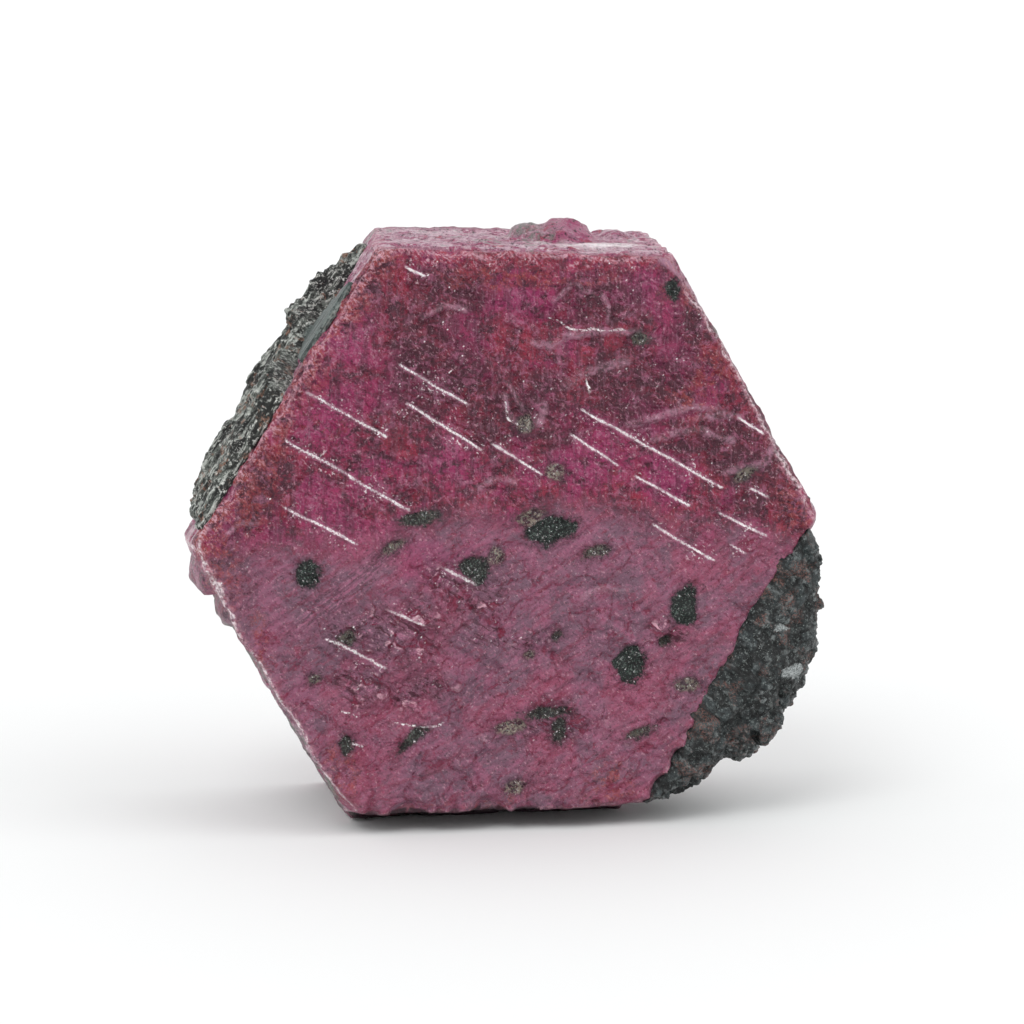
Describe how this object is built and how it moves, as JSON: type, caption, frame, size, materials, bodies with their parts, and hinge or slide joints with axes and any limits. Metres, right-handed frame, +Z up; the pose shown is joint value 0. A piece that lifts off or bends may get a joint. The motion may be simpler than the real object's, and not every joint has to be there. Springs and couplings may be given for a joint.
{
  "type": "raw ruby crystal",
  "caption": "Rough hexagonal tablet of red corundum standing on a prism face, with growth ledges, pits and chipped edges, and dark schist clinging to two of its sides.",
  "frame": {"origin": "on the ground under the middle of the specimen's bounding box, with the crystal standing on its lowest prism face", "axes": "+Z up, +Y along the crystal's c-axis away from its better basal face, +X towards the side that carries the dark schist lump"},
  "size_m": [0.0426, 0.0181, 0.039],
  "materials": {
    "ruby": "rough waxy crimson to mauve corundum with a greyish patina and small vitreous glints",
    "dark_schist": "granular black-green mica and hornblende rock, dull with sparkling flakes",
    "foliated_schist": "leafy grey-green and black mica schist, dull"
  },
  "bodies": {
    "root": {"ruby_crystal": "ruby", "schist_lump": "dark_schist", "schist_crust": "foliated_schist"}
  },
  "joints": []
}
